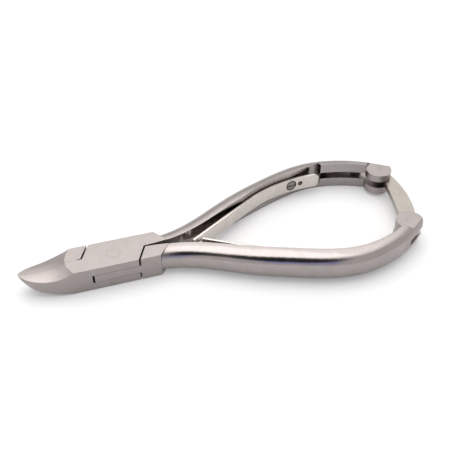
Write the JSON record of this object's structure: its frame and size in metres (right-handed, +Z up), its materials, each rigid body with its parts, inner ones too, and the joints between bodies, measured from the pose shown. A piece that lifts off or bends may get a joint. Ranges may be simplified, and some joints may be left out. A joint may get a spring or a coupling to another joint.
{
  "type": "toenail nipper",
  "caption": "Heavy toenail nipper with a box joint, hollow-ground pointed jaws, two interlocking leaf springs and a curved lock bar that closes across the handle tails.",
  "frame": {"origin": "on the joint pin's axis, at the underside of the box joint that the tool rests on", "axes": "+X along the tool towards the handle tails, +Y towards the handle that carries the box plates, +Z up along the joint pin"},
  "size_m": [0.143, 0.0577, 0.0105],
  "materials": {
    "forging_steel": "satin ground and polished",
    "spring_steel": "satin, bright edges",
    "lock_steel": "satin",
    "pin_steel": "ground flush",
    "screw_steel": "turned"
  },
  "bodies": {
    "box_half": {"box_handle": "forging_steel", "joint_pin": "pin_steel", "window_spring_screw": "screw_steel", "lock_catch_pin": "pin_steel"},
    "tongue_half": {"tongue_handle": "forging_steel", "tongue_spring_screw": "screw_steel", "lock_hinge_pin": "pin_steel"},
    "window_leaf": {"window_spring": "spring_steel"},
    "tongue_leaf": {"tongue_spring": "spring_steel"},
    "lock": {"lock_bar": "lock_steel"}
  },
  "joints": [
    {"name": "handle_open", "type": "hinge", "parent": "box_half", "child": "tongue_half", "pos_m": [0, 0, 0], "axis": [0, 0, -1], "range_deg": [0, 26]},
    {"name": "window_leaf_flex", "type": "hinge", "parent": "box_half", "child": "window_leaf", "pos_m": [0.07221, 0.02116, 0.00525], "axis": [0, 0, 1], "range_deg": [0, 11.23]},
    {"name": "tongue_leaf_flex", "type": "hinge", "parent": "tongue_half", "child": "tongue_leaf", "pos_m": [0.07221, -0.02116, 0.00525], "axis": [0, 0, -1], "range_deg": [0, 11.23]},
    {"name": "lock_swing", "type": "hinge", "parent": "tongue_half", "child": "lock", "pos_m": [0.1022, -0.0153, 0.00525], "axis": [0, 0, 1], "range_deg": [-140, 2.5]}
  ],
  "couplings": [
    {"joint": "window_leaf_flex", "follows": "handle_open", "ratio": 0.43},
    {"joint": "tongue_leaf_flex", "follows": "handle_open", "ratio": 0.43}
  ]
}
